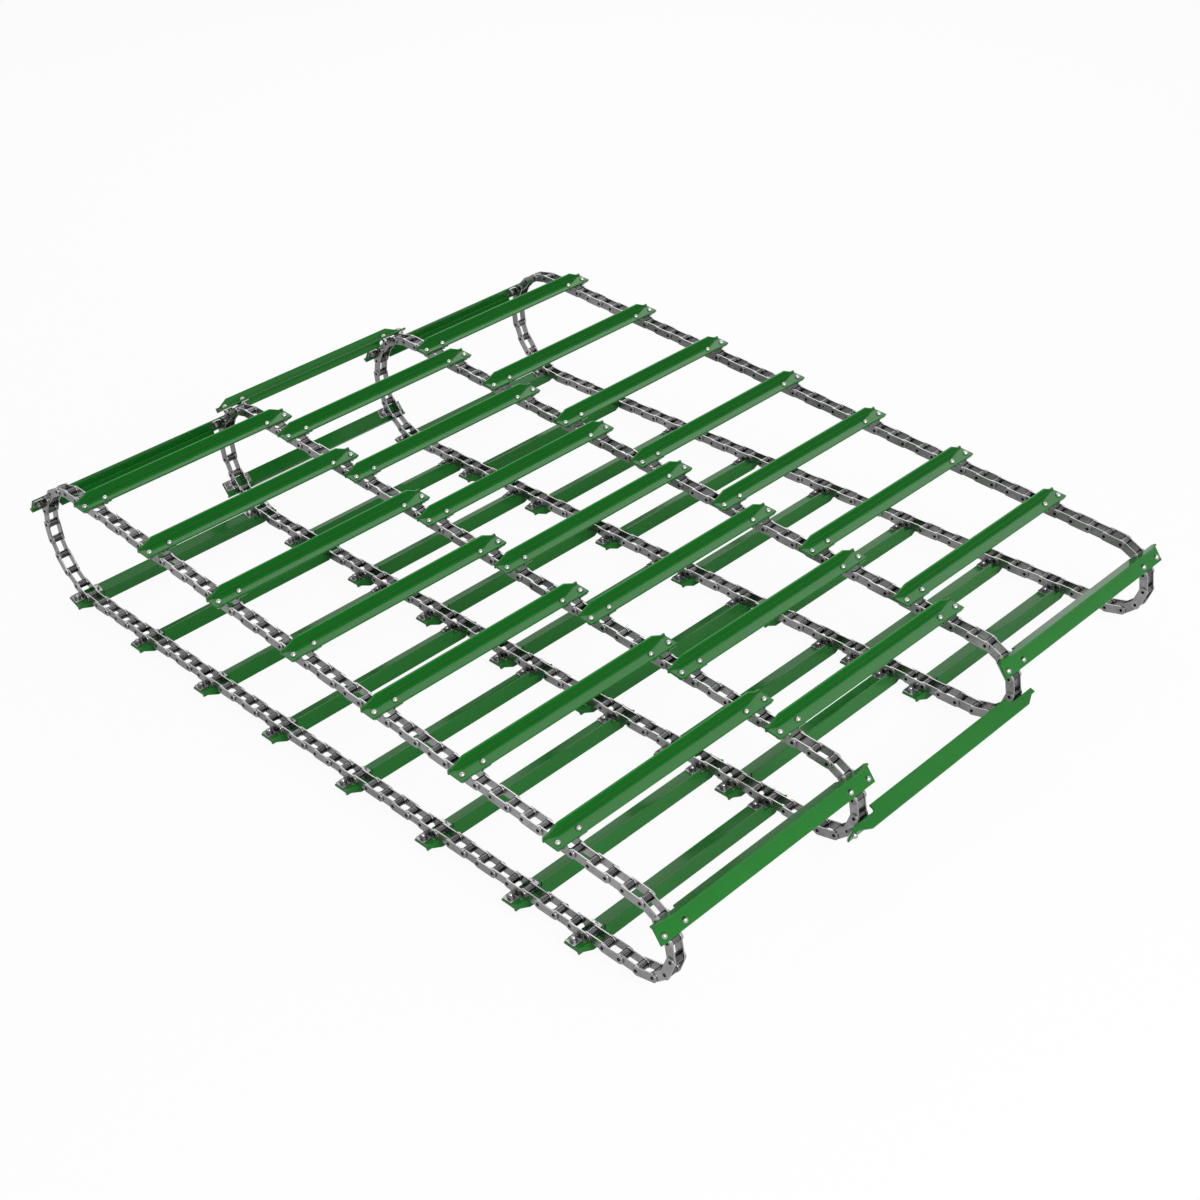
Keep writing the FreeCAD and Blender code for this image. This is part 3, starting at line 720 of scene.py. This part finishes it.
def enamel_green():
    """Gloss alkyd enamel sprayed on rolled steel: even green with a faint orange peel and cloudy gloss, and a
    dark line of painted shade in the fold."""
    material = clear_nodes(bpy.data.materials.new("alkyd_enamel_green"))
    place = add_node(material, "ShaderNodeTexCoord").outputs["Object"]
    cloud = add_node(material, "ShaderNodeTexNoise", inputs={
        "Vector": place, "Scale": per_metre(PAINT_CLOUD), "Detail": 3.0, "Roughness": 0.6})
    tone = add_node(material, "ShaderNodeMix", {"data_type": "RGBA"}, {
        "Factor": cloud.outputs["Fac"], "A": colour("#156a20"), "B": colour("#1a7524")})
    fold = add_node(material, "ShaderNodeAttribute", {"attribute_name": "marked_face"})
    # Painted shade: the fold's marked faces are mixed to a darker green, standing in for the shade in the
    # inside corner.
    fold_painted_shade = add_node(material, "ShaderNodeMix", {"data_type": "RGBA"}, {
        "Factor": fold.outputs["Fac"], "A": tone.outputs["Result"], "B": colour("#1f5622")})
    gloss = add_node(material, "ShaderNodeMapRange", inputs={
        "Value": cloud.outputs["Fac"], "From Min": NOISE_LOW, "From Max": NOISE_HIGH,
        "To Min": 0.12, "To Max": 0.20})
    peel = add_node(material, "ShaderNodeTexNoise", inputs={
        "Vector": place, "Scale": per_metre(ORANGE_PEEL), "Detail": 2.0})
    bump = add_node(material, "ShaderNodeBump", inputs={
        "Strength": 0.03, "Distance": BUMP_DEPTH * MM, "Height": peel.outputs["Fac"]})
    shader = add_node(material, "ShaderNodeBsdfPrincipled", inputs={
        "Base Color": fold_painted_shade.outputs["Result"], "Roughness": gloss.outputs["Result"],
        "Normal": bump.outputs["Normal"], "IOR": 1.5, "Specular IOR Level": 0.25})
    add_node(material, "ShaderNodeOutputMaterial", inputs={"Surface": shader.outputs[0]})
    return material


def chain_steel(name, pale, dark, rough_low, rough_high, grain_mm, rim_highlight=None):
    """Heat-treated and tumbled carbon steel: grey, softly mottled, each piece a little different; its rims
    can be given a painted highlight, a brighter tone."""
    material = clear_nodes(bpy.data.materials.new(name))
    place = add_node(material, "ShaderNodeTexCoord").outputs["Object"]
    own_tone = add_node(material, "ShaderNodeAttribute", {"attribute_name": "piece_tone"})
    mottle = add_node(material, "ShaderNodeTexNoise", inputs={
        "Vector": place, "Scale": per_metre(grain_mm), "Detail": 4.0, "Roughness": 0.65})
    blend = add_node(material, "ShaderNodeMath", {"operation": "MULTIPLY_ADD"}, {
        0: own_tone.outputs["Fac"], 1: OWN_TONE_SHARE, 2: mottle.outputs["Fac"]})
    spread = add_node(material, "ShaderNodeMapRange", inputs={
        "Value": blend.outputs["Value"], "From Min": MOTTLE_LOW, "From Max": MOTTLE_HIGH})
    tone = add_node(material, "ShaderNodeMix", {"data_type": "RGBA"}, {
        "Factor": spread.outputs["Result"], "A": colour(pale), "B": colour(dark)})
    if rim_highlight:
        # Painted highlight: marked rim faces are mixed to a paler tone, standing in for the light that the
        # plates' edges catch.
        rim = add_node(material, "ShaderNodeAttribute", {"attribute_name": "marked_face"})
        tone = add_node(material, "ShaderNodeMix", {"data_type": "RGBA"}, {
            "Factor": rim.outputs["Fac"], "A": tone.outputs["Result"], "B": colour(rim_highlight)})
    gloss = add_node(material, "ShaderNodeMapRange", inputs={
        "Value": mottle.outputs["Fac"], "From Min": NOISE_LOW, "From Max": NOISE_HIGH,
        "To Min": rough_low, "To Max": rough_high})
    grit = add_node(material, "ShaderNodeTexNoise", inputs={
        "Vector": place, "Scale": per_metre(TUMBLED_GRIT), "Detail": 3.0})
    bump = add_node(material, "ShaderNodeBump", inputs={
        "Strength": 0.12, "Distance": BUMP_DEPTH * MM, "Height": grit.outputs["Fac"]})
    shader = add_node(material, "ShaderNodeBsdfPrincipled", inputs={
        "Base Color": tone.outputs["Result"], "Metallic": 1.0, "Roughness": gloss.outputs["Result"],
        "Normal": bump.outputs["Normal"]})
    add_node(material, "ShaderNodeOutputMaterial", inputs={"Surface": shader.outputs[0]})
    return material


PAINT = enamel_green()

# Punched plate: mid grey with a soft sheen, its rims painted paler as a highlight along the edges
PLATE_STEEL = chain_steel("tumbled_plate_steel", "#a6a5a7", "#807f81", 0.20, 0.34, 14, rim_highlight="#b4b3b1")

# Turned and hardened roller: dark and smooth, with a bright streak along its side
ROLLER_STEEL = chain_steel("turned_roller_steel", "#757476", "#4a494b", 0.09, 0.16, 9)

# Case-hardened tube: dark grey and dull
BUSH_STEEL = chain_steel("case_hardened_bush_steel", "#69686a", "#464547", 0.25, 0.35, 9)

# Black oxide: nearly black, so that each pin end is a dark dot on its plate
PIN_STEEL = chain_steel("black_oxide_pin_steel", "#191818", "#0e0d0d", 0.35, 0.50, 6)

# Bright zinc on the domed heads: pale and clean, with a white spot of light
BOLT_ZINC = chain_steel("bright_zinc_plate", "#c4c3c1", "#a09f9d", 0.20, 0.30, 5)

# Zinc on the nuts below the tabs, coloured darker than on the bolt heads: mid grey, with little shine
NUT_ZINC = chain_steel("darker_nut_zinc", "#8a898b", "#646365", 0.28, 0.40, 5)

# Drawn wire: pale grey with a thin soft line of light
WIRE_STEEL = chain_steel("drawn_cotter_wire", "#b8b7b5", "#8d8c8a", 0.25, 0.35, 4)


# Setting the pieces along the loop

SMOOTH_BELOW = math.radians(38)
TONE_WEIGHTS = (0.731, 1.173, 0.457)
TONE_STRETCH = 43758.5453
NODE_BODY = {node: body for body, nodes in frame["record"]["behaviour"]["bodies"].items() for node in nodes}


def piece_tone(place):
    """A steady value from 0 to 1 for a piece, from where it lies."""
    wave = sum(part * weight for part, weight in zip(place, TONE_WEIGHTS))
    return math.sin(wave) * TONE_STRETCH % 1.0


def set_pieces(name, node, material, drawn):
    """One object of many copies, standing for a node: drawn lists (master, frames) pairs."""
    points, faces, tones, marks = [], [], [], []
    count = 0
    for (master_points, master_faces, master_marks), frames in drawn:
        for axes, place in frames:
            points.append((master_points @ axes.T + place) * MM)
            faces += [[index + count for index in face] for face in master_faces]
            tones.append(np.full(len(master_points), piece_tone(place)))
            marks += master_marks
            count += len(master_points)
    mesh = bpy.data.meshes.new(name)
    mesh.from_pydata(np.concatenate(points), [], faces)
    tone = mesh.attributes.new("piece_tone", "FLOAT", "POINT")
    tone.data.foreach_set("value", np.concatenate(tones))
    # Marked faces take painted shade in the slats' folds and a painted highlight on the plates' rims.
    marked = mesh.attributes.new("marked_face", "FLOAT", "FACE")
    marked.data.foreach_set("value", marks)
    mesh.shade_smooth()
    mesh.set_sharp_from_angle(angle=SMOOTH_BELOW)
    mesh.materials.append(material)
    piece = bpy.data.objects.new(name, mesh)
    bpy.context.scene.collection.objects.link(piece)
    flats = piece.modifiers.new("flats_stay_flat", "WEIGHTED_NORMAL")
    flats.keep_sharp = True
    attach(piece, NODE_BODY[node])
    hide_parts(node)


INNER_PLATE = link_plate(BUSH_RADIUS, INNER_FACE)
OUTER_PLATE = link_plate(PIN_RADIUS, OUTER_FACE)
TABBED_PLATE = attachment_plate()
ROLLER = roller()
BUSH = bush()
PIN = riveted_pin(-PIN_END, PIN_END)
PIN_CORE = riveted_pin(-BUSH_END, BUSH_END)
PIN_STUB = riveted_pin(OUTER_FACE, PIN_END)
CONNECTING_PIN = riveted_pin(-PIN_END, CONNECTING_END)
COTTER = cotter()
SLAT = slat()
BOLT = dome_bolt()
NUT = hexagon_nut()


def pin_drawings(links):
    """Whole pins for outer links; where the loop opens, only their ends."""
    whole, ends = [], []
    for link in links:
        for across in STRAND_PLACES:
            for pin in (link, link + 1):
                if pin == LOWER_FIRST:
                    ends.append(pin_frame(pin, link, across))
                    ends.append(pin_frame(pin, link, across, turned=True))
                else:
                    whole.append(pin_frame(pin, link, across))
    return [(PIN, whole), (PIN_STUB, ends)]


def dress_run(name, links):
    """A straight run: one object for each kind of piece, and one for each row of slats."""
    inner = [link for link in links if is_inner(link)]
    outer = [link for link in links if not is_inner(link)]
    pins = pin_drawings([link for link in outer if link != CONNECTING_LINK])
    if LOWER_FIRST in links:
        pins.append((PIN_CORE, [pin_frame(LOWER_FIRST, LOWER_FIRST, across) for across in STRAND_PLACES]))
    kinds = [
        ("inner_plates", "plate_steel", PLATE_STEEL, [(INNER_PLATE, plate_frames(inner, every_strand))]),
        ("bushes", "bush_steel", BUSH_STEEL, [(BUSH, both_pin_frames(inner))]),
        ("rollers", "roller_steel", ROLLER_STEEL, [(ROLLER, both_pin_frames(inner))]),
        ("outer_plates", "plate_steel", PLATE_STEEL, [(OUTER_PLATE, plate_frames(outer, lacks_tabs))]),
        ("attachment_plates", "plate_steel", PLATE_STEEL,
         [(TABBED_PLATE, plate_frames(outer, carries_slat))]),
        ("pins", "pin_steel", PIN_STEEL, pins),
    ]
    for row in range(ROWS):
        kinds.append(("slats_row_%d" % (row + 1), "slat_paint", PAINT, [(SLAT, slat_frames(outer, [row]))]))
    kinds.append(("bolts", "bolt_zinc", BOLT_ZINC, [(BOLT, bolt_frames(outer))]))
    kinds.append(("nuts", "bolt_zinc", NUT_ZINC, [(NUT, bolt_frames(outer))]))
    for kind, slot, material, drawn in kinds:
        node = name + "_" + kind
        set_pieces(node + ".set", node, material, drawn)


def dress_connecting_links():
    """The longer pins that join each strand's ends, and their cotters."""
    places = both_pin_frames([CONNECTING_LINK])
    set_pieces("connecting_pins.set", "connecting_pins", PIN_STEEL, [(CONNECTING_PIN, places)])
    set_pieces("connecting_cotters.set", "connecting_cotters", WIRE_STEEL, [(COTTER, places)])


def dress_curve(name, first, total, free_rollers):
    """A wrapped stretch: each link by itself, its plates, pins, bushes and rollers as separate pieces."""
    for number, link in enumerate(range(first, first + total), start=1):
        node = "%s_link_%02d" % (name, number)
        if is_inner(link):
            set_pieces(node + ".plates", node, PLATE_STEEL,
                       [(INNER_PLATE, plate_frames([link], every_strand))])
            set_pieces(node + ".bushes", node, BUSH_STEEL, [(BUSH, both_pin_frames([link]))])
            for pin in (link, link + 1):
                roller_name = "%s_rollers_%02d" % (name, pin - first + 1)
                roller_node = roller_name if free_rollers else node
                frames = [pin_frame(pin, link, across) for across in STRAND_PLACES]
                set_pieces(roller_name + ".set", roller_node, ROLLER_STEEL,
                           [(ROLLER, frames)])
        else:
            set_pieces(node + ".plates", node, PLATE_STEEL,
                       [(OUTER_PLATE, plate_frames([link], lacks_tabs)),
                        (TABBED_PLATE, plate_frames([link], carries_slat))])
            set_pieces(node + ".pins", node, PIN_STEEL, pin_drawings([link]))
            slats = slat_frames([link], range(ROWS))
            if slats:
                slat_node = "%s_slats_%02d" % (name, number)
                bolt_node = "%s_fasteners_%02d" % (name, number)
                set_pieces(slat_node + ".set", slat_node, PAINT, [(SLAT, slats)])
                bolts = bolt_frames([link])
                set_pieces(bolt_node + ".bolts", bolt_node, BOLT_ZINC, [(BOLT, bolts)])
                set_pieces(bolt_node + ".nuts", bolt_node, NUT_ZINC, [(NUT, bolts)])


dress_run("lower", list(range(LOWER_FIRST, REAR_FIRST)))
dress_connecting_links()
dress_curve("rear", REAR_FIRST, REAR_LINKS, False)
dress_run("upper", list(range(UPPER_FIRST, LINKS)) + list(range(FRONT_FIRST)))
dress_curve("front", FRONT_FIRST, FRONT_LINKS, True)


# Floor, light and camera, in metres; a strength of 1 is white

FLOOR_HALF = 30.0
FLOOR_DROP = 0.0005
FLOOR_SEEN = 0.93
FLOOR_MIRRORED = 0.1
WORLD_SEEN = 1.0
WORLD_LIGHT = 0.43
LIT_POINT = (0.0, 0.0, 0.2)

# Round softboxes: name, place, width and power in watts
SOFTBOXES = [
    ("front_softbox", (5.1, -1.5, 3.8), 3.6, 255),
    ("rear_softbox", (-2.4, 2.55, 3.1), 4.6, 52),
]


def white_for_sight(owner, straight, mirrored):
    """How white a thing shows to the eye, and to rays mirrored or let through; nought for plain light."""
    path = add_node(owner, "ShaderNodeLightPath")
    bounced = add_node(owner, "ShaderNodeMath", {"operation": "MAXIMUM"}, {
        0: path.outputs["Is Glossy Ray"], 1: path.outputs["Is Transmission Ray"]})
    dimmed = add_node(owner, "ShaderNodeMath", {"operation": "MULTIPLY"}, {
        0: bounced.outputs["Value"], 1: mirrored})
    whole = add_node(owner, "ShaderNodeMath", {"operation": "MULTIPLY_ADD"}, {
        0: path.outputs["Is Camera Ray"], 1: straight, 2: dimmed.outputs["Value"]})
    return whole.outputs["Value"]


def white_floor():
    """A matte white floor that the eye sees as plain white, with a faint shadow left in it."""
    material = clear_nodes(bpy.data.materials.new("matte_white_floor"))
    matte = add_node(material, "ShaderNodeBsdfDiffuse", inputs={"Color": colour("#f2f2f2")})
    white = add_node(material, "ShaderNodeEmission", inputs={"Color": colour("#ffffff"), "Strength": 1.0})
    mix = add_node(material, "ShaderNodeMixShader", inputs={
        0: white_for_sight(material, FLOOR_SEEN, FLOOR_MIRRORED), 1: matte.outputs[0], 2: white.outputs[0]})
    add_node(material, "ShaderNodeOutputMaterial", inputs={"Surface": mix.outputs[0]})
    return material


def lay_floor():
    mesh = bpy.data.meshes.new("floor")
    corners = [(-1, -1), (1, -1), (1, 1), (-1, 1)]
    mesh.from_pydata([(x * FLOOR_HALF, y * FLOOR_HALF, -FLOOR_DROP) for x, y in corners], [], [(0, 1, 2, 3)])
    mesh.materials.append(white_floor())
    floor = bpy.data.objects.new("floor", mesh)
    bpy.context.scene.collection.objects.link(floor)


def light_world():
    """Even white surroundings: softer as light than as the white that the eye and metal see."""
    world = clear_nodes(bpy.data.worlds.new("white_studio"))
    bpy.context.scene.world = world
    strength = add_node(world, "ShaderNodeMapRange", inputs={
        "Value": white_for_sight(world, WORLD_SEEN, WORLD_SEEN), "To Min": WORLD_LIGHT, "To Max": WORLD_SEEN})
    background = add_node(world, "ShaderNodeBackground", inputs={
        "Color": colour("#ffffff"), "Strength": strength.outputs["Result"]})
    add_node(world, "ShaderNodeOutputWorld", inputs={"Surface": background.outputs[0]})


def add_softbox(name, place, width, power):
    """A round area lamp aimed at the chain."""
    lamp = bpy.data.lights.new(name, "AREA")
    lamp.shape = "DISK"
    lamp.size = width
    lamp.energy = power
    softbox = bpy.data.objects.new(name, lamp)
    softbox.location = place
    softbox.rotation_euler = (Vector(LIT_POINT) - Vector(place)).to_track_quat("-Z", "Y").to_euler()
    bpy.context.scene.collection.objects.link(softbox)


def set_camera():
    lens = bpy.data.cameras.new("camera")
    lens.lens = CAMERA_LENS
    lens.sensor_width = CAMERA_SENSOR
    lens.clip_end = CAMERA_SIGHT
    camera = bpy.data.objects.new("camera", lens)
    camera.location = Vector(CAMERA_OFFSET) + Vector((DRIVE[0], 0.0, DRIVE[1])) * MM
    camera.rotation_euler = Euler([math.radians(angle) for angle in CAMERA_TURN], "XYZ")
    bpy.context.scene.collection.objects.link(camera)
    bpy.context.scene.camera = camera


lay_floor()
light_world()
for name, place, width, power in SOFTBOXES:
    add_softbox(name, place, width, power)
set_camera()
bpy.context.scene.view_settings.view_transform = "Standard"
